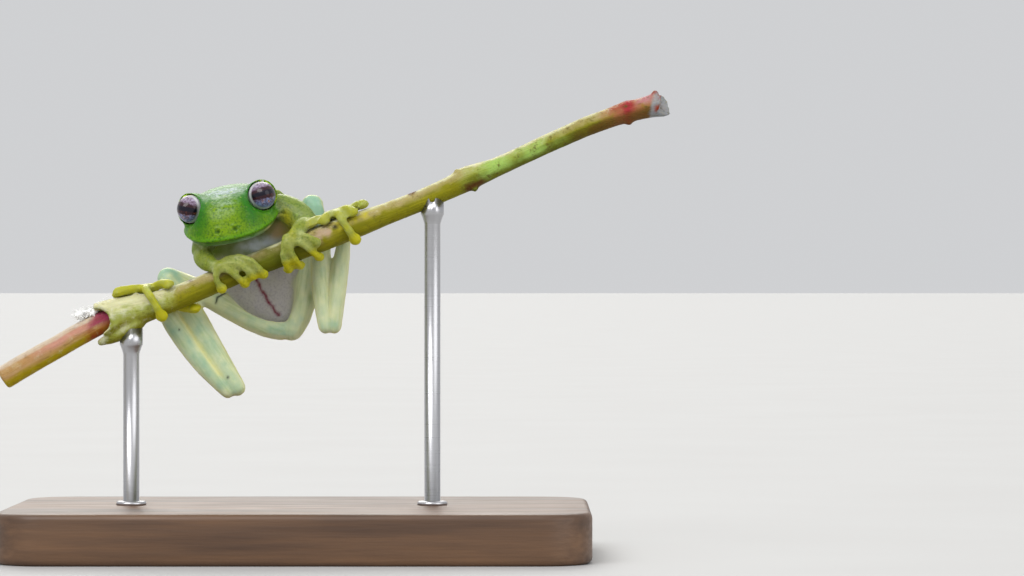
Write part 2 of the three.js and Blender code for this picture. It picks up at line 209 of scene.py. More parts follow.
def keep_lie(made, lie):
    """Keeps the place along and across a limb or stem, which the streaks follow."""
    layer = made.data.attributes.new("lie", "FLOAT_VECTOR", "POINT")
    layer.data.foreach_set("vector", np.ascontiguousarray(lie, dtype=np.float32).ravel())


# Node trees


def node(tree, kind, inputs=None, **settings):
    """A shader node with its settings made and its inputs set or joined."""
    made = tree.nodes.new("ShaderNode" + kind)
    for name, value in settings.items():
        setattr(made, name, value)
    for name, value in (inputs or {}).items():
        if isinstance(value, bpy.types.NodeSocket):
            tree.links.new(value, made.inputs[name])
        else:
            made.inputs[name].default_value = value
    return made


def math_of(tree, operation, first, second=0.0, clamp=False):
    return node(tree, "Math", {0: first, 1: second}, operation=operation, use_clamp=clamp).outputs[0]


def times(tree, first, second):
    return math_of(tree, "MULTIPLY", first, second)


def past(tree, first, second, gain):
    """How far the first value is past the second, times the gain, and held between 0 and 1."""
    return math_of(tree, "MULTIPLY", math_of(tree, "SUBTRACT", first, second), gain, clamp=True)


def mixed(tree, factor, first, second):
    """Two colours mixed by a factor."""
    return node(tree, "Mix", {0: factor, 6: first, 7: second}, data_type="RGBA").outputs[2]


def object_place(tree):
    return node(tree, "TexCoord").outputs["Object"]


def noise(tree, scale, detail, rough=0.5):
    """Soft noise on the object's own coordinates."""
    settings = {"Vector": object_place(tree), "Scale": scale, "Detail": detail, "Roughness": rough}
    return node(tree, "TexNoise", settings).outputs["Fac"]


def stretched(tree, scale):
    """The object's own coordinates, stretched so that a pattern on them becomes long lines."""
    return node(tree, "Mapping", {"Vector": object_place(tree), "Scale": scale}).outputs["Vector"]


def attribute(tree, name, socket="Fac"):
    return node(tree, "Attribute", attribute_name=name, attribute_type="GEOMETRY").outputs[socket]


def group(name, inputs, outputs):
    """An empty node group with named sockets: (tree, its input node's sockets, its output node's)."""
    tree = bpy.data.node_groups.new(name, "ShaderNodeTree")
    for label, kind, value in inputs:
        socket = tree.interface.new_socket(label, in_out="INPUT", socket_type="NodeSocket" + kind)
        if value is not None:
            socket.default_value = value
    for label, kind in outputs:
        tree.interface.new_socket(label, in_out="OUTPUT", socket_type="NodeSocket" + kind)
    return tree, tree.nodes.new("NodeGroupInput").outputs, tree.nodes.new("NodeGroupOutput").inputs


def placed(tree, made_group, **inputs):
    """The mask of a node group that is placed in a material."""
    return node(tree, "Group", inputs, node_tree=made_group).outputs["Mask"]


def ragged_edge():
    """A mask whose edge is broken up by noise, as pigment in skin or bark is."""
    tree, given, out = group(
        "RaggedEdge",
        [("Mask", "Float", 0.0), ("Scale", "Float", 1500.0), ("Rough", "Float", 0.6)],
        [("Mask", "Float")],
    )
    swing = math_of(tree, "SUBTRACT", noise(tree, given["Scale"], 4.0), 0.5)
    edge = times(tree, given["Mask"], math_of(tree, "SUBTRACT", 1.0, given["Mask"]))
    swing = times(tree, times(tree, swing, given["Rough"]), times(tree, edge, 10.0))
    tree.links.new(math_of(tree, "ADD", given["Mask"], swing, clamp=True), out["Mask"])
    return tree


def dotted():
    """Small round dots, scattered so that only some of the places for one are taken."""
    tree, given, out = group(
        "Dotted",
        [("Scale", "Float", 1500.0), ("Size", "Float", 0.3), ("Share", "Float", 0.5)],
        [("Mask", "Float")],
    )
    cells = node(tree, "TexVoronoi", {"Vector": object_place(tree), "Scale": given["Scale"]})
    chance = node(tree, "SeparateColor", {"Color": cells.outputs["Color"]}).outputs["Red"]
    taken = math_of(tree, "LESS_THAN", chance, given["Share"])
    size = times(tree, given["Size"], math_of(tree, "ADD", 0.5, chance))
    inside = past(tree, 1.0, math_of(tree, "DIVIDE", cells.outputs["Distance"], size), 2.0)
    tree.links.new(times(tree, inside, taken), out["Mask"])
    return tree


def streaks():
    """Fine lines that run along one way: the place is stretched by the vector given."""
    tree, given, out = group(
        "Streaks",
        [("Place", "Vector", None), ("Scale", "Float", 1.0), ("Contrast", "Float", 1.0)],
        [("Mask", "Float")],
    )
    lines = node(tree, "TexNoise", {"Vector": given["Place"], "Scale": given["Scale"], "Detail": 5.0})
    swing = times(tree, math_of(tree, "SUBTRACT", lines.outputs["Fac"], 0.5), given["Contrast"])
    tree.links.new(math_of(tree, "ADD", 0.5, swing, clamp=True), out["Mask"])
    return tree


RAGGED = ragged_edge()
DOTTED = dotted()
STREAKS = streaks()


def mask_of(tree, name, scale=1500.0, rough=0.6):
    """One of a piece's own masks, with its edge broken up."""
    return placed(tree, RAGGED, Mask=attribute(tree, name), Scale=scale, Rough=rough)


def colour(red, green, blue):
    return (red, green, blue, 1.0)


def laid_over(tree, base, layers):
    """A colour with others laid over it, each where one of the piece's own masks says."""
    result = base
    for name, tint, *edge in layers:
        result = mixed(tree, mask_of(tree, name, *edge), result, tint)
    return result


def material(name, **settings):
    """A new material: (the material, its tree, its Principled shader)."""
    made = bpy.data.materials.new(name)
    made.use_nodes = True
    tree = made.node_tree
    shader = tree.nodes["Principled BSDF"]
    for label, value in settings.items():
        shader.inputs[label.replace("_", " ")].default_value = value
    return made, tree, shader


def bumped(tree, shader, height, strength, distance):
    relief = node(tree, "Bump", {"Height": height, "Strength": strength, "Distance": distance})
    tree.links.new(relief.outputs["Normal"], shader.inputs["Normal"])


def glossed(tree, shader, value, smooth, dull, start=0.0, end=1.0):
    """Roughness that follows a value, from smooth where it is at the start to dull at the end."""
    levels = {"Value": value, "From Min": start, "From Max": end, "To Min": smooth, "To Max": dull}
    tree.links.new(node(tree, "MapRange", levels).outputs["Result"], shader.inputs["Roughness"])


# Finishes


def moist_skin():
    """Thin wet skin: pale and streaked on the limbs, speckled green on the head, yellow on the toes."""
    made, tree, shader = material(
        "moist_skin",
        Subsurface_Weight=0.7,
        Subsurface_Radius=(1.0, 0.95, 0.5),
        Subsurface_Scale=0.35 * MM,
        Coat_Weight=0.1,
        Coat_Roughness=0.15,
        Specular_IOR_Level=0.22,
        IOR=1.4,
    )
    limb = mask_of(tree, "limb", rough=0.0)
    fibre = placed(tree, STREAKS, Place=attribute(tree, "lie", "Vector"), Scale=2.6, Contrast=2.2)
    hollow = times(tree, past(tree, 0.42, fibre, 1.0), times(tree, limb, 2.4))
    mottle = past(tree, noise(tree, 4800.0, 6.0), 0.46, 4.5)
    speckle = placed(tree, DOTTED, Scale=2600.0, Size=0.3, Share=0.4)
    fleck = placed(tree, DOTTED, Scale=1700.0, Size=0.42, Share=0.45)
    dust = placed(tree, DOTTED, Scale=3600.0, Size=0.4, Share=0.5)
    cloud = noise(tree, 700.0, 5.0)
    belly = mixed(tree, mottle, colour(0.46, 0.43, 0.43), colour(0.36, 0.33, 0.35))

    skin = mixed(tree, cloud, colour(0.44, 0.50, 0.24), colour(0.64, 0.66, 0.36))
    skin = mixed(tree, times(tree, times(tree, fibre, limb), 0.8), skin, colour(0.66, 0.68, 0.46))
    skin = mixed(tree, times(tree, hollow, 0.3), skin, colour(0.24, 0.34, 0.2))
    skin = laid_over(
        tree,
        skin,
        [
            # painted light through the limbs: a pale bluish glow where they face the viewer, with the
            # knees' own blue, and cream-yellow rims where they turn away
            ("glow_and_blue_knees", colour(0.25, 0.42, 0.30), 900.0),
            ("rim_glow", colour(0.60, 0.57, 0.19), 900.0),
            ("pale", belly, 600.0, 0.4),
            ("smoke", colour(0.17, 0.23, 0.035), 900.0, 0.7),
            ("chin", colour(0.06, 0.16, 0.02), 900.0, 0.7),
            # throat, blush and honey: the chest's own pale, pink and yellow, made much brighter as painted
            # light glowing through the skin where the head shades it
            ("throat", colour(0.72, 0.78, 0.86), 700.0, 0.9),
            ("blush", colour(0.66, 0.50, 0.26), 700.0, 0.8),
            ("honey", colour(0.45, 0.42, 0.02), 700.0, 0.9),
            ("green", colour(0.045, 0.17, 0.004), 900.0, 0.5),
            ("snout", colour(0.19, 0.31, 0.001), 900.0, 0.6),
            ("vivid", colour(0.016, 0.15, 0.0002), 900.0, 0.6),
            ("sheen", colour(0.25, 0.36, 0.19), 2200.0, 1.4),
            # painted sheen: a pale blue-grey reflection on the top of the head between the eyes
            ("crown_sheen", colour(0.26, 0.33, 0.34), 2600.0, 1.2),
            ("lip", colour(0.10, 0.27, 0.002), 900.0, 0.2),
            ("yellow", colour(0.21, 0.235, 0.008), 900.0, 0.4),
            ("golden", colour(0.40, 0.39, 0.015), 900.0, 0.8),
            ("disc", colour(0.46, 0.43, 0.01), 900.0, 0.4),
        ],
    )
    spots = [
        (mottle, "mottled", colour(0.02, 0.10, 0.003)),
        (fleck, "flecked", colour(0.30, 0.42, 0.06)),
        (speckle, "speckled", colour(0.03, 0.10, 0.01)),
        (dust, "dusted", colour(0.10, 0.14, 0.06)),
    ]
    for pattern, name, tint in spots:
        skin = mixed(tree, times(tree, pattern, mask_of(tree, name)), skin, tint)
    skin = laid_over(
        tree,
        skin,
        [
            ("shade", colour(0.03, 0.10, 0.01), 900.0, 0.2),
            ("crease", colour(0.64, 0.62, 0.26), 1800.0, 0.4),
            ("vein", colour(0.17, 0.012, 0.03), 2500.0, 0.5),
            ("mark", colour(0.012, 0.02, 0.008), 2500.0, 0.3),
        ],
    )
    tree.links.new(skin, shader.inputs["Base Color"])
    glossed(tree, shader, cloud, 0.34, 0.52, start=0.3, end=0.7)
    height = math_of(tree, "ADD", noise(tree, 4200.0, 3.0), times(tree, fleck, mask_of(tree, "flecked")))
    bumped(tree, shader, height, 0.5, 0.06 * MM)
    return made


PUPIL_HEIGHT = 0.05  # of the pupil's middle, in eye radii above the eye's own


def eye_surface():
    """Silver iris with a net of dark lines, a wide dark pupil across it and a pale rim."""
    made, tree, shader = material(
        "eye_surface", Roughness=0.3, Coat_Weight=0.45, Coat_Roughness=0.03, Specular_IOR_Level=0.2, IOR=1.4
    )
    flat = node(tree, "UVMap", uv_map="iris").outputs["UV"]
    spread = node(tree, "SeparateXYZ", {"Vector": flat}).outputs
    across, up = spread["X"], spread["Y"]
    radius = node(tree, "VectorMath", {0: flat}, operation="LENGTH").outputs["Value"]
    cloud = node(tree, "TexNoise", {"Vector": flat, "Scale": 3.4, "Detail": 6.0, "Roughness": 0.7}).outputs
    wobble = cloud["Fac"]
    bent = node(tree, "VectorMath", {0: flat, 1: cloud["Color"]}, operation="ADD").outputs["Vector"]
    net = node(tree, "TexVoronoi", {"Vector": bent, "Scale": 3.8}, feature="DISTANCE_TO_EDGE")
    lines = math_of(tree, "SUBTRACT", 1.0, times(tree, net.outputs["Distance"], 6.0), clamp=True)

    height = math_of(tree, "SUBTRACT", up, PUPIL_HEIGHT)
    bowed = times(tree, math_of(tree, "POWER", math_of(tree, "ABSOLUTE", across), 2.0), 0.35)
    swing = times(tree, math_of(tree, "SUBTRACT", wobble, 0.5), 0.45)
    belt = math_of(tree, "DIVIDE", math_of(tree, "ABSOLUTE", math_of(tree, "ADD", height, swing)), 0.42)
    pupil = past(tree, 1.1, math_of(tree, "ADD", belt, bowed), 5.0)
    slit = math_of(tree, "DIVIDE", math_of(tree, "ABSOLUTE", height), 0.2)
    slit = past(tree, 1.0, math_of(tree, "ADD", slit, bowed), 4.0)
    glint = times(tree, pupil, past(tree, wobble, 0.56, 9.0))
    above = past(tree, up, 0.4, 4.0)
    below = past(tree, -0.2, up, 4.0)
    copper = times(tree, times(tree, below, past(tree, 0.8, radius, 4.0)), past(tree, wobble, 0.47, 9.0))

    layers = [
        (wobble, colour(0.30, 0.23, 0.34)),
        (times(tree, above, 0.5), colour(0.46, 0.42, 0.54)),
        (below, colour(0.20, 0.25, 0.46)),
        (copper, colour(0.60, 0.27, 0.15)),
        (times(tree, lines, 0.95), colour(0.05, 0.012, 0.035)),
        (pupil, colour(0.026, 0.005, 0.010)),
        (times(tree, glint, 0.5), colour(0.30, 0.10, 0.05)),
        (slit, colour(0.003, 0.002, 0.010)),
        (past(tree, radius, 0.89, 14.0), colour(0.58, 0.58, 0.60)),
    ]
    iris = colour(0.16, 0.09, 0.14)
    for factor, tint in layers:
        iris = mixed(tree, factor, iris, tint)
    tree.links.new(iris, shader.inputs["Base Color"])
    bumped(tree, shader, lines, 0.2, 0.03 * MM)
    return made


def plant_finish(name, base, layers, roughness):
    """Waxy plant skin: streaks along the stem, pores, and the piece's own masks laid over them."""
    made, tree, shader = material(
        name,
        Subsurface_Weight=0.25,
        Subsurface_Radius=(1.0, 0.8, 0.3),
        Subsurface_Scale=0.4 * MM,
        Specular_IOR_Level=0.2,
        Roughness=roughness,
        IOR=1.42,
    )
    way = attribute(tree, "lie", "Vector")
    line = placed(tree, STREAKS, Place=way, Scale=1.6, Contrast=1.8)
    fine = placed(tree, STREAKS, Place=way, Scale=5.0, Contrast=1.4)
    pores = placed(tree, DOTTED, Scale=1300.0, Size=0.2, Share=0.3)
    crumb = noise(tree, 1300.0, 8.0, rough=0.7)
    flakes = times(tree, past(tree, crumb, 0.54, 9.0), mask_of(tree, "flaked"))
    grime = times(tree, past(tree, 0.45, crumb, 9.0), mask_of(tree, "grimed"))

    skin = mixed(tree, line, *base)
    skin = mixed(tree, times(tree, noise(tree, 320.0, 6.0), 0.3), skin, colour(0.14, 0.17, 0.003))
    skin = mixed(tree, times(tree, pores, 0.3), skin, colour(0.20, 0.09, 0.02))
    skin = laid_over(tree, skin, layers)
    skin = mixed(tree, flakes, skin, colour(0.66, 0.64, 0.42))
    skin = mixed(tree, grime, skin, colour(0.10, 0.07, 0.01))
    skin = mixed(tree, times(tree, fine, 0.3), skin, colour(0.07, 0.07, 0.005))
    tree.links.new(skin, shader.inputs["Base Color"])
    bumped(tree, shader, math_of(tree, "ADD", times(tree, fine, 0.6), crumb), 0.8, 0.14 * MM)
    return made


def stem_skin():
    return plant_finish(
        "stem_skin",
        (colour(0.19, 0.18, 0.001), colour(0.36, 0.32, 0.005)),
        [
            # painted shade: the stem's underside at the right and the head's shadow below the chin,
            # darkened in its colour
            ("stem_shade", colour(0.10, 0.12, 0.001), 500.0, 0.6),
            ("bark", colour(0.42, 0.34, 0.14), 700.0, 1.0),
            ("gold", colour(0.55, 0.48, 0.02), 1100.0, 1.2),
            ("mint", colour(0.36, 0.56, 0.12), 700.0, 0.8),
            ("sheath", colour(0.38, 0.42, 0.08), 700.0, 0.9),
            ("veil", colour(0.62, 0.64, 0.40), 1300.0, 1.6),
            # cream: the stem's pale top edge, partly its own and partly a painted highlight; the sheath's
            # own cream top
            ("cream", colour(0.64, 0.62, 0.36), 1100.0, 1.4),
            ("scratch", colour(0.50, 0.36, 0.24), 1100.0, 1.3),
            ("rose", colour(0.38, 0.12, 0.06), 700.0, 1.0),
            ("pink", colour(0.46, 0.18, 0.20), 900.0, 1.0),
            ("magenta", colour(0.34, 0.008, 0.03), 900.0, 0.8),
            ("umber", colour(0.12, 0.055, 0.003), 500.0, 0.6),
            ("scar", colour(0.10, 0.03, 0.004), 1400.0, 1.2),
            ("ash", colour(0.30, 0.32, 0.34), 1100.0, 1.0),
            ("ember", colour(0.30, 0.03, 0.014), 1400.0, 1.4),
            ("spot", colour(0.008, 0.007, 0.008), 2500.0, 0.3),
            ("plum", colour(0.14, 0.08, 0.15), 2500.0, 0.5),
        ],
        0.6,
    )


def petiole_skin():
    return plant_finish(
        "petiole_skin",
        (colour(0.48, 0.24, 0.08), colour(0.58, 0.34, 0.17)),
        [
            ("amber", colour(0.48, 0.36, 0.006), 600.0, 0.8),
            ("blush", colour(0.56, 0.27, 0.20), 600.0, 0.9),
            ("cream", colour(0.60, 0.49, 0.38), 600.0, 0.8),
            ("rust", colour(0.34, 0.06, 0.012), 700.0, 1.0),
            ("magenta", colour(0.28, 0.02, 0.07), 700.0, 0.9),
        ],
        0.55,
    )


def torn_fibre():
    """Loose white plant fibre."""
    made, tree, shader = material("torn_fibre", Specular_IOR_Level=0.05, Roughness=0.9)
    cloud = noise(tree, 1800.0, 4.0)
    white = mixed(tree, cloud, colour(0.80, 0.80, 0.76), colour(0.92, 0.92, 0.92))
    tree.links.new(white, shader.inputs["Base Color"])
    bumped(tree, shader, cloud, 0.4, 0.05 * MM)
    return made


def oiled_wood():
    """Dark wood with its grain along the base."""
    made, tree, shader = material("oiled_wood", Coat_Weight=0.12, Coat_Roughness=0.3)
    along = stretched(tree, (26.0, 240.0, 420.0))
    line = placed(tree, STREAKS, Place=along, Scale=1.0, Contrast=2.2)
    fine = placed(tree, STREAKS, Place=along, Scale=5.5, Contrast=1.8)
    wood = mixed(tree, line, colour(0.045, 0.020, 0.009), colour(0.19, 0.095, 0.042))
    wood = mixed(tree, times(tree, fine, 0.4), wood, colour(0.03, 0.013, 0.006))
    tree.links.new(wood, shader.inputs["Base Color"])
    glossed(tree, shader, fine, 0.38, 0.6)
    bumped(tree, shader, fine, 0.25, 0.08 * MM)
    return made


def brushed_steel():
    """Steel rod, brushed round its axis."""
    made, tree, shader = material("brushed_steel", Metallic=1.0)
    round_axis = stretched(tree, (60.0, 60.0, 16000.0))
    line = placed(tree, STREAKS, Place=round_axis, Scale=1.0, Contrast=1.6)
    steel = mixed(tree, line, colour(0.46, 0.46, 0.47), colour(0.54, 0.54, 0.56))
    tree.links.new(steel, shader.inputs["Base Color"])
    glossed(tree, shader, line, 0.22, 0.42)
    bumped(tree, shader, line, 0.15, 0.02 * MM)
    return made


def pale_floor():
    """Matt light grey, faintly uneven."""
    made, tree, shader = material("pale_floor", Roughness=0.7)
    grey = mixed(tree, noise(tree, 30.0, 3.0), colour(0.41, 0.405, 0.40), colour(0.44, 0.44, 0.435))
    tree.links.new(grey, shader.inputs["Base Color"])
    return made


# The frog

# Lines of [x, z] places as the viewer sees them, in millimetres
VEIN = [
    (-4.7, 27.6), (-4.35, 27.0), (-4.2, 26.5), (-3.7, 25.9),
    (-3.5, 25.3), (-3.0, 24.8), (-2.8, 24.3), (-2.4, 24.0),
]
VEIN_WIDTH = 0.17
HOOK = [(-8.65, 25.15), (-8.5, 25.75), (-7.75, 26.2)]
HOOK_WIDTH = 0.1
LEG_DOTS = [([(-12.2, 22.5), (-12.2, 22.55)], 0.09), ([(-7.3, 17.7), (-7.3, 17.75)], 0.13)]
ARMPIT = [(-1.4, 34.0), (-1.0, 31.4)]
HEELS = {side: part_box(f"shank_{side}")[0].z for side in SIDES}


def settled(shape):
    """Presses the pads and fingers onto the stem, from the clearance that the solids keep."""
    stem = BVHTree.FromBMesh(solid_copy("perch_stem"))
    reach = 0.7 * MM
    pressed = 0.16 * MM
    lifted = 0.12 * MM
    for vert in shape.verts:
        place, normal, _, distance = stem.find_nearest(vert.co, reach)
        if place is None:
            continue
        if (vert.co - place).dot(normal) < 0:
            vert.co += normal * lifted
        else:
            vert.co -= normal * pressed * (1 - distance / reach)
    return shape


def folded(shape):
    """Presses in the fold where each folded shank lies against its tarsus, but not round the heel."""
    reach = 0.6 * MM
    depth = 0.16 * MM
    width = 0.13 * MM
    heel = 1.2 * MM
    fade = 2 * MM
    shape.normal_update()
    for side in SIDES:
        pair = [BVHTree.FromBMesh(solid_copy(f"{part}_{side}")) for part in ("shank", "tarsus")]
        for vert in shape.verts:
            near = [tree.find_nearest(vert.co, reach)[3] for tree in pair]
            if None in near:
                continue
            above_heel = min(1, max(0, (vert.co.z - HEELS[side] - heel) / fade))
            vert.co -= vert.normal * depth * above_heel * bell(near[0] - near[1], width)
    return shape


def face(shape):
    """Cuts the mouth line and the nostrils into the head, each under a raised rim."""
    shape.normal_update()
    back = HEAD.inverted()
    for vert in shape.verts:
        place = (back @ vert.co) / MM
        if place.y > 3.4 or abs(place.x) > 5.5 or abs(place.z) > 4 or vert.co.y > 5.5 * MM:
            continue
        raised = 0
        if (place.xy - MOUTH_MIDDLE).length > 3.2:
            height = place.z - LIP_HEIGHT
            raised += 0.08 * bell(height - 0.16, 0.2) - 0.17 * bell(height + 0.16, 0.11)
        for side in (1, -1):
            away = (place - mirrored(NOSTRIL, side)).length
            raised += 0.09 * bell(away - 0.36, 0.16) - 0.28 * bell(away, 0.2)
        vert.co += vert.normal * raised * MM
    return shape


def nearness(places):
    """How much each point belongs to each of the frog's solids, by its distance from them."""
    far = 9.0
    reach = 1.2
    blend = 0.22
    distances = np.full((len(FLESH), len(places)), far)
    for row, name in enumerate(FLESH):
        tree = BVHTree.FromBMesh(solid_copy(name))
        low, high = (np.array(corner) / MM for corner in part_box(name))
        close = np.all((places > low - reach) & (places < high + reach), axis=1)
        for i in np.nonzero(close)[0]:
            distances[row, i] = tree.find_nearest(Vector(places[i]) * MM)[3] / MM
    weights = np.exp(-(distances - distances.min(0)) / blend)
    weights /= weights.sum(0)
    share = {name: weights[row] for row, name in enumerate(FLESH)}
    for part in LIMBS + ENDS:
        share[part] = share[f"{part}_left"] + share[f"{part}_right"]
    share["leg"] = share["thigh"] + share["shank"] + share["tarsus"]
    share["arm"] = share["upper_arm"] + share["forearm"]
    share["ends"] = share["hand"] + share["foot"]
    return share


def lie_of(places, share):
    """For each limb, the place along and across it, so that the fibres under the skin run along it."""
    lie = places * 0.5
    for name in FLESH:
        if name.rsplit("_", 1)[0] not in LIMBS:
            continue
        solid = solid_copy(name)
        corners = np.array([vert.co[:] for vert in solid.verts]) / MM
        middle = corners.mean(0)
        way = np.linalg.svd(corners - middle, full_matrices=False)[2][0]
        side = np.cross(way, (0, 1, 0))
        side /= np.linalg.norm(side)
        offset = places - middle
        inside = share[name] > 0.5
        flat = np.stack([offset @ way * 0.12, offset @ side * 1.3, offset[:, 1] * 0.8], axis=1)
        lie[inside] = flat[inside]
    return lie


def limb_masks(places, front, share):
    """The colours of the legs, the arms, the hands and the feet."""
    x, y, z = places.T
    leg, arm = share["leg"], share["arm"]
    right_leg = x < -4
    heel = np.where(right_leg, HEELS["right"], HEELS["left"]) / MM
    fold = 4 * sum(share[f"shank_{side}"] * share[f"tarsus_{side}"] for side in SIDES)
    crease = fold * fold * step(front, -0.2, 0.3) * step(z, heel + 1.4, heel + 2.6)
    shin = step(z, 24.5, 22) * step(z, 15.5, 17.5)
    left_knee = (share["thigh_left"] + share["shank_left"]) * step(z, 32.4, 33.6)
    right_knee = share["thigh_right"] * step(x, -11.6, -13.0)
    # painted glow in the middle of the legs where they face the viewer, plus the own blue of the knees and
    # the shanks' backs
    glow_and_blue_knees = leg * step(front, 0.55, 0.95) * (0.2 + 0.35 * shin)
    glow_and_blue_knees += 0.9 * (left_knee + right_knee) + 0.5 * share["shank"] * step(y, 3.6, 4.4)
    hook = near_line(places, HOOK, HOOK_WIDTH) * step(front, 0, 0.4) * share["thigh_right"]
    dots = sum(near_line(places, *dot) for dot in LEG_DOTS) * step(front, 0.2, 0.6) * leg
    near_foot = step(share["foot"], 0.0, 0.4)
    return {
        "limb": leg + arm,
        "crease": crease * (0.35 + 0.6 * right_leg),
        "glow_and_blue_knees": glow_and_blue_knees,
        # painted glow on the rims of the legs and arms, where they turn away from the viewer
        "rim_glow": leg * step(front, 0.55, 0.1) * 0.65 + arm * step(front, 0.7, 0.1) * 0.55,
        "yellow": share["ends"] * 0.8 + share["forearm"] * 0.45 + share["tarsus"] * near_foot * 0.5,
        "golden": share["foot_right"] * 0.65 + share["foot_left"] * 0.3,
        "disc": share["ends"] * near_discs(places),
        "mark": hook + dots,
    }


def near_discs(places):
    """The tips of the fingers and toes: what lies on the stem's front and underside."""
    x, _, z = places.T
    height = (z - 30.4 - (x + 1) * 0.392) * STEM_SLOPE.x
    return step(height, -0.5, -1.3)


def trunk_masks(places, front, share):
    """The colours of the torso and the throat, and of the arms, which are as dim behind the stem."""
    x, _, z = places.T
    torso, arm, jaw = share["torso"], share["arm"], share["jaw"]
    chest = (torso + jaw) * step(front, -0.3, 0.4)
    under_stem = 1 - step(z, 29, 30.5)
    return {
        "pale": torso * step(front, -0.1, 0.5) * (0.15 + 0.75 * under_stem),
        "smoke": arm * 0.95 + (torso - share["back"]) * (1 - under_stem) * 0.85,
        "chin": jaw * 0.95,
        # painted glow: the chest's own colours below the jaw, brightened as if light shone through the skin
        # in the head's shadow
        "throat": chest * bell(x + 3.9 - (z - 31.2) * 1.4, 1.6) * bell(z - 31.2, 0.75),
        "blush": chest * bell(x + 2.3, 1.0) * bell(z - 32.5, 0.8),
        "honey": (arm + chest) * near_line(places, ARMPIT, 0.65) * step(front, 0, 0.5) * 0.9,
        "vein": torso * near_line(places, VEIN, VEIN_WIDTH) * step(front, 0.1, 0.4),
    }


def head_masks(local, share):
    """The colours of the head, placed in the head's own axes."""
    x, y, z = local.T
    head, crown = share["head"], share["crown"]
    beside_eyes = bell(np.abs(x) - 2.6, 1.1) * bell(y + 2.6, 2.1)
    from_mouth = np.hypot(x - MOUTH_MIDDLE.x, y - MOUTH_MIDDLE.y)
    mouth_line = head * bell(z - LIP_HEIGHT + 0.17, 0.09) * step(from_mouth, 3.2, 3.8) * step(y, 1.8, 0.8)
    nostrils = sum(near_spot(local, mirrored(NOSTRIL, side), 0.22) for side in (1, -1))
    return {
        "snout": crown * step(y, -1.6, -3.6) * 0.9,
        "vivid": crown * (1.3 * beside_eyes + 0.5 * bell(y - 1.4, 1.2)),
        "sheen": crown * bell(x, 1.1) * bell(y + 2.3, 1.3) * 0.7,
        # painted sheen on the head's top between the eyes
        "crown_sheen": crown * bell(x - 0.1, 1.7) * bell(y + 0.6, 0.9) * step(z, 0.4, 1.0) * 0.95,
        "lip": head * bell(z + 1.85, 0.3) * step(from_mouth, 3.4, 4.0) * 0.9,
        "shade": mouth_line * 0.75 + nostrils,
        "speckled": crown * step(z, -2.0, -1.2) * 0.9,
    }


def spread_masks(local, share, dorsal):
    """The green of the back, and the patterns that lie on more than one part of the body."""
    leg, arm, crown, back = share["leg"], share["arm"], share["crown"], share["back"]
    green = crown + back * 0.9
    return {
        "green": green + leg * dorsal * 0.6,
        "mottled": crown * 0.75 + back * 0.4 + arm * 0.45 + share["hand"] * 0.3,
        "flecked": green * step(local[:, 1], -4.6, -2.0) * 0.4 + arm * 0.35 + share["foot"] * 0.3,
        "dusted": back * 0.8 + arm * 0.7 + crown * 0.5 + leg * dorsal * 0.5,
    }


def skin_masks(made):
    """Paints where each colour of the skin lies, in millimetres, and which way its fibres run."""
    places, normals = points_of(made)
    turn = np.array(HEAD.inverted())
    local = places @ turn[:3, :3].T + turn[:3, 3] / MM
    front = -normals[:, 1]
    dorsal = step(front, 0.05, -0.55)
    share = nearness(places)
    share["crown"] = share["head"] * step(local[:, 2], -2.3, -2.12)
    share["jaw"] = share["head"] * step(local[:, 2], -2.12, -2.3)
    share["back"] = share["torso"] * dorsal
    paint(made, limb_masks(places, front, share))
    paint(made, trunk_masks(places, front, share))
    paint(made, head_masks(local, share))
    paint(made, spread_masks(local, share, dorsal))
    keep_lie(made, lie_of(places, share))


def frog_skin(finish):
    """One moist skin over the head, the trunk, the limbs, the hands and the feet."""
    shapes = [solid_copy(name) for name in FLESH]
    for name, shape in zip(FLESH, shapes):
        swell(shape, FUSE + (PLUMP if name.startswith("foot") else 0))
    body = smoothed(fused(shapes, VOXEL), 7)
    swell(body, SHRINK)
    made = piece("frog_skin", face(settled(folded(body))), finish)
    skin_masks(made)
    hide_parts(*FLESH)
    return made


def eye(side, name, finish):
    """A wet eyeball whose pole is the middle of the pupil, with the iris laid out on its own flat map."""
    shape = bmesh.new()
    bmesh.ops.create_uvsphere(shape, u_segments=64, v_segments=40, radius=EYE_RADIUS)
    for vert in shape.verts:
        ahead = max(0, vert.co.z / EYE_RADIUS - 0.6) / 0.4
        vert.co.z += CORNEA * ahead * ahead
    layer = shape.loops.layers.uv.new("iris")
    for corner in (loop for face in shape.faces for loop in face.loops):
        flat = corner.vert.co.xy / EYE_RADIUS
        corner[layer].uv = flat if corner.vert.co.z > 0 else flat.normalized()
    turn = mirrored(EYE_LOOK, side).to_track_quat("Z", "Y").to_matrix().to_4x4()
    roll = Matrix.Rotation(math.radians(-8), 4, "Z")
    place = HEAD @ Matrix.Translation(mirrored(EYE_PLACE, side)) @ turn @ roll
    bmesh.ops.transform(shape, matrix=place, verts=shape.verts)
    made = piece(name, shape, finish)
    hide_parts(name.replace("ball", "eye"))
    return made


# The perch

# Places in millimetres
EMBERS = [(35.5, -0.3, 46.3), (36.2, -0.9, 45.9), (35.9, -1.2, 44.6)]
SCRATCH = [(1.5, 31.7), (2.6, 32.4)]
NODE_SCAR = [(16.9, 36.7), (18.1, 37.3)]
NICK = [(11.0, 36.2), (11.4, 36.3)]
BLACK_SPOT = (3.55, -1.2, 32.83)
PLUM_SPOT = (-10.9, -0.3, 27.6)


def facing_up(normals):
    """How much each point faces away from the stem's underside: 1 on its top, -1 below."""
    return normals @ np.array((-STEM_SLOPE.z, 0, STEM_SLOPE.x))


def fibres(places, normals):
    """The place along the stem and round it, so that its fibres run along it."""
    along = places @ np.array(STEM_SLOPE)
    around = np.arctan2(normals[:, 1], normals[:, 2])
    return np.stack([along * 0.16, around * 2.4, 0 * along], axis=1)


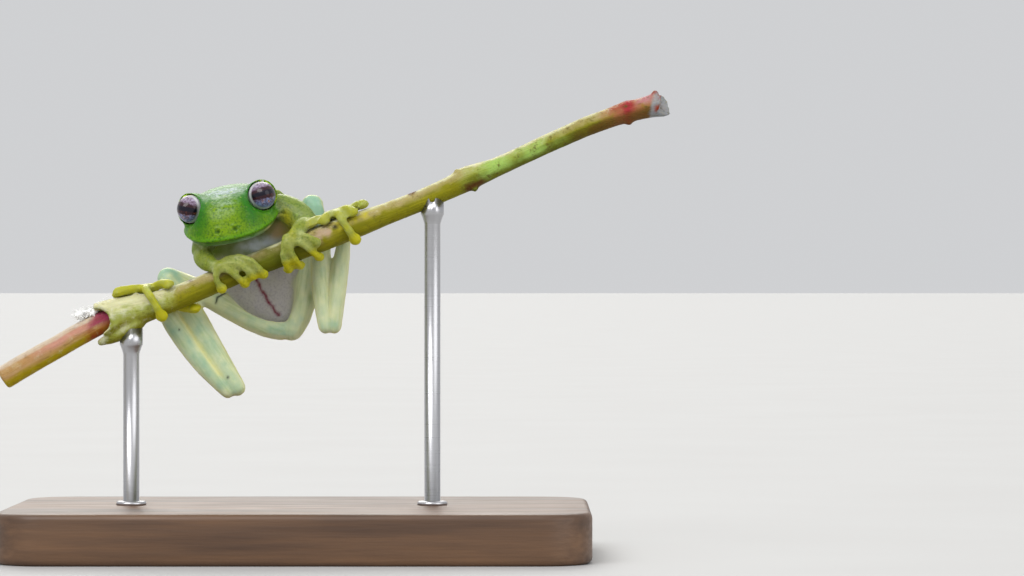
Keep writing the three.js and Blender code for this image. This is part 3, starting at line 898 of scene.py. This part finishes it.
def perch_stem(finish):
    """The stem: a dry sheath at its left, a mint stretch, and a red broken end at its right."""
    made = piece("stem", smoothed(fused([solid_copy("perch_stem")], STEM_VOXEL), 5), finish)
    places, normals = points_of(made)
    x, _, z = places.T
    front = -normals[:, 1]
    top = facing_up(normals)
    sheath = step(x, -11.8, -13.8)
    # painted shadow of the frog's head on the stem, below its chin
    chin_shadow = bell(x + 2.6, 3.4)
    right = step(x, 15.5, 18)
    broken = step(x, 34.9, 35.4)
    masks = {
        # painted shade: darker where the stem faces down at the right, and in the chin's shadow
        "stem_shade": right * step(top, 0.25, -0.35) * 0.8 + chin_shadow * 0.85,
        "umber": step(x, 26, 30) * step(top, 0.2, -0.35) * 0.85,
        # less of the tan top where the painted chin shadow lies
        "bark": step(top, -0.05, 0.55) * (1 - sheath) * (0.85 - 0.6 * chin_shadow),
        "gold": bell(x - 4.8, 1.9) * step(top, -0.2, 0.5) * 0.9,
        "mint": (bell(x - 19.4, 2.1) + 0.6 * bell(x - 23.5, 2.2)) * step(top, -0.95, -0.2) * 0.95,
        "sheath": sheath * step(top, -0.95, -0.1) * 0.95,
        "veil": sheath * (0.35 * step(top, -0.6, 0.3) + 0.6 * step(x, -18.6, -19.9)),
        # pale top edge along the stem: partly its own pale ridge, partly a painted highlight where it faces
        # up; the sheath's top is its own cream
        "cream": step(top, 0.66, 0.94) * 0.85 + sheath * step(top, 0.05, 0.6) * 0.95,
        "scratch": near_line(places, SCRATCH, 0.55) * step(front, 0, 0.5) * 0.9,
        "rose": step(x, 29.5, 32) * 0.85,
        "pink": step(x, 33.2, 33.8) * step(top, 0, 0.6) * 0.85,
        "magenta": bell(x - 32.8, 0.6) * 0.95 + bell(x - 31.5, 0.7) * step(top, 0.1, 0.8) * 0.6,
        "scar": near_line(places, NODE_SCAR, 0.42) + near_line(places, NICK, 0.2),
        "ash": step(x - 0.25 * (z - 45), 34.9, 35.4) * 0.95,
        "ember": sum(near_spot(places, spot, 0.4) for spot in EMBERS),
        "spot": near_spot(places, BLACK_SPOT, 0.28),
        "plum": near_spot(places, PLUM_SPOT, 0.45),
        "flaked": step(top, 0.0, 0.9) * (0.5 + 0.4 * bell(x - 4.5, 3)) + sheath * 0.35,
        "grimed": 0.35 + 0.5 * right + 0.4 * broken,
    }
    paint(made, masks)
    keep_lie(made, fibres(places, normals))
    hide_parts("perch_stem")
    return made


def perch_petiole(finish):
    """The pink and amber stalk that comes out of the sheath."""
    made = piece("petiole", smoothed(fused([solid_copy("perch_petiole")], STEM_VOXEL), 4), finish)
    places, normals = points_of(made)
    x = places[:, 0]
    top = facing_up(normals)
    masks = {
        "amber": step(top, -0.1, -0.7),
        "blush": bell(top - 0.35, 0.4) * step(x, -28, -24),
        "cream": step(top, 0.4, 0.9),
        "rust": step(x, -22.0, -20.4) * step(top, 0.1, -0.5) * 0.8,
        "magenta": step(x, -21.5, -20.2) * step(top, -0.4, 0.2) * 0.95,
        "flaked": np.full(len(x), 0.2),
        "grimed": np.full(len(x), 0.3),
    }
    paint(made, masks)
    keep_lie(made, fibres(places, normals))
    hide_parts("perch_petiole")
    return made


def strand(shape, root, tip, radius, sag):
    """One thin fibre, tapered and bent."""
    steps = 5
    taper = (0.75, 0.75, 0.75)
    way = tip - root
    turn = way.to_track_quat("Z", "Y").to_matrix().to_4x4()
    place = Matrix.Translation(root) @ turn
    ring = bmesh.ops.create_circle(shape, segments=5, radius=radius, cap_ends=True, matrix=place)
    end = ring["verts"][0].link_faces[0]
    bend = turn @ Vector((sag, 0, 0))
    for i in range(steps):
        grown = bmesh.ops.extrude_face_region(shape, geom=[end])["geom"]
        end = next(part for part in grown if isinstance(part, bmesh.types.BMFace))
        swing = math.sin(math.pi * (i + 1) / steps) - math.sin(math.pi * i / steps)
        corners = list(end.verts)
        bmesh.ops.translate(shape, verts=corners, vec=way / steps + bend * swing)
        centre = Matrix.Translation(-end.calc_center_median())
        bmesh.ops.scale(shape, verts=corners, vec=taper, space=centre)


LUMPS = 24
HAIRS = 90
THREADS = 40


def tuft():
    """Small lumps in a row, fused into one ragged clump that leads out from the sheath's edge."""
    lumps = []
    for i in range(LUMPS):
        along = i / (LUMPS - 1)
        lump = bmesh.new()
        bmesh.ops.create_icosphere(lump, subdivisions=2, radius=random.uniform(0.2, 0.4) * MM)
        place = Vector((-20.4, 0, 24.35)) - along * Vector((1.8, 0, 0.5))
        place += Vector((0, random.uniform(-0.45, 0.4), random.uniform(-0.15, 0.25)))
        bmesh.ops.translate(lump, verts=lump.verts, vec=place * MM)
        lumps.append(lump)
    return smoothed(fused(lumps, 0.07 * MM), 2)


def fluff(finish):
    """The torn white fibres on top of the sheath's broken end."""
    shape = tuft()
    shape.normal_update()
    roots = random.sample([(vert.co.copy(), vert.normal.copy()) for vert in shape.verts], HAIRS)
    for root, outward in roots:
        reach = outward * random.uniform(0.1, 0.4)
        reach += Vector((random.uniform(-0.45, 0.1), 0, random.uniform(-0.1, 0.15)))
        radius = random.uniform(0.06, 0.11) * MM
        strand(shape, root, root + reach * MM, radius, random.uniform(-0.1, 0.1) * MM)
    for _ in range(THREADS):
        start = Vector((random.uniform(-20.2, -18.6), random.uniform(-0.8, 0.8), 0))
        start.z = 25.3 + 0.42 * (start.x + 19.2)
        reach = Vector((random.uniform(-0.9, 0.2), random.uniform(-0.3, 0.3), random.uniform(-0.05, 0.4)))
        strand(shape, start * MM, (start + reach) * MM, random.uniform(0.03, 0.07) * MM, 0.05 * MM)
    bmesh.ops.recalc_face_normals(shape, faces=shape.faces)
    made = piece("torn_fibres", shape, finish)
    return made


# The stand


def stand_base(finish):
    """A wooden plate with round corners and softened edges."""
    low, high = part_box("stand_base")
    size = high - low
    shape = bmesh.new()
    bmesh.ops.create_cube(shape, size=1)
    bmesh.ops.scale(shape, vec=size, verts=shape.verts)
    bmesh.ops.translate(shape, vec=(low + high) / 2, verts=shape.verts)
    upright = [e for e in shape.edges if abs(e.verts[0].co.z - e.verts[1].co.z) > size.z / 2]
    bevelled(shape, upright, BASE_CORNER, 12)
    level = [e for e in shape.edges if len(e.link_faces) == 2 and e.calc_face_angle(0) > 1.2]
    bevelled(shape, level, BASE_EDGE, 4)
    made = piece("base", shape, finish)
    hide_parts("stand_base")
    return made


def bevelled(shape, edges, offset, segments):
    bmesh.ops.bevel(
        shape, geom=edges, offset=offset, segments=segments, profile=0.5, affect="EDGES", material=-1
    )


def rod_profile(foot, top):
    """Radius and height, from the middle of the foot up: a collar, the shaft and a flared head."""
    collar, shaft, flare = 1.5 * MM, 0.8 * MM, 1.15 * MM
    collar_top = foot + 0.4 * MM
    head = top - 2.2 * MM
    rings = [0.85 * MM, 0.55 * MM, 0.25 * MM, 0]
    return [
        (0, foot),
        (collar, foot),
        (collar, foot + 0.25 * MM),
        (1.35 * MM, collar_top),
        (shaft, collar_top),
        (shaft, head),
        (0.86 * MM, head + 0.25 * MM),
        (1.05 * MM, head + 0.8 * MM),
        (flare, head + 1.0 * MM),
        (flare, top),
    ] + [(radius, top) for radius in rings]


def stand_rod(side, finish):
    """A turned rod whose flared head is hollowed to the stem's underside."""
    name = f"stand_rod_{side}"
    low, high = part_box(name)
    middle = (low + high) / 2
    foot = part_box("stand_base")[1].z
    shape = bmesh.new()
    points = [shape.verts.new((radius, 0, height)) for radius, height in rod_profile(foot, high.z)]
    edges = [shape.edges.new(pair) for pair in zip(points, points[1:])]
    bmesh.ops.spin(
        shape, geom=points + edges, cent=(0, 0, 0), axis=(0, 0, 1), angle=math.tau, steps=40, use_merge=True
    )
    bmesh.ops.remove_doubles(shape, verts=shape.verts, dist=1e-7)
    bmesh.ops.recalc_face_normals(shape, faces=shape.faces)
    bmesh.ops.translate(shape, vec=(middle.x, middle.y, 0), verts=shape.verts)
    hollowed(shape, foot, high.z)
    made = piece(f"rod_{side}", shape, finish)
    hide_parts(name)
    return made


def hollowed(shape, foot, top):
    """Moves the points of a rod's flat top up or down to just below the stem or the petiole over them."""
    clearance = 0.02 * MM
    highest = top + 0.4 * MM
    above = [BVHTree.FromBMesh(solid_copy(name)) for name in ("perch_stem", "perch_petiole")]
    for vert in shape.verts:
        if vert.co.z < top - 1e-6:
            continue
        start = Vector((vert.co.x, vert.co.y, foot))
        hits = [tree.ray_cast(start, Vector((0, 0, 1)))[0] for tree in above]
        heights = [hit.z for hit in hits if hit]
        if heights:
            vert.co.z = min(min(heights) - clearance, highest)


def build():
    skin = moist_skin()
    iris = eye_surface()
    steel = brushed_steel()
    made = [
        frog_skin(skin),
        eye(1, "ball_left", iris),
        eye(-1, "ball_right", iris),
        perch_stem(stem_skin()),
        perch_petiole(petiole_skin()),
        fluff(torn_fibre()),
        stand_base(oiled_wood()),
    ]
    made += [stand_rod(side, steel) for side in SIDES]
    for part in made:
        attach(part, "root")


# The studio


def soft_light(name, way, strength, spread, tint=(1, 1, 1)):
    """A far light as wide as a bright window, from the given way, so that floor and frog get the same."""
    lamp = bpy.data.lights.new(name, "SUN")
    lamp.energy = strength
    lamp.angle = math.radians(spread)
    lamp.color = tint
    made = bpy.data.objects.new(name, lamp)
    made.rotation_euler = Vector(way).to_track_quat("Z", "Y").to_euler()
    bpy.context.scene.collection.objects.link(made)


def studio():
    world = bpy.data.worlds.new("studio")
    bpy.context.scene.world = world
    world.use_nodes = True
    world.node_tree.nodes["Background"].inputs["Color"].default_value = colour(0.87, 0.88, 0.90)
    world.node_tree.nodes["Background"].inputs["Strength"].default_value = 0.72
    shape = bmesh.new()
    bmesh.ops.create_grid(shape, x_segments=2, y_segments=2, size=20)
    floor = piece("floor", shape, pale_floor())
    bpy.context.scene.view_settings.view_transform = "Standard"
    soft_light("key", (-200, -300, 352), 1.9, 36)
    soft_light("fill", (340, -280, 172), 0.9, 50)
    soft_light("back", (-40, 300, 232), 1.4, 40, (1.0, 0.98, 0.92))
    soft_light("sky", (0, 0, 1), 0.35, 90)


def camera():
    """The photograph's own view: level, and straight across the stem."""
    lens = bpy.data.cameras.new("view")
    lens.sensor_width = SENSOR
    lens.lens = SENSOR * -VIEWER.y / PICTURE_WIDTH
    lens.clip_start = 0.01
    made = bpy.data.objects.new("view", lens)
    made.location = VIEWER
    made.rotation_euler = (math.radians(90), 0, 0)
    bpy.context.scene.collection.objects.link(made)
    bpy.context.scene.camera = made


camera()
build()
studio()
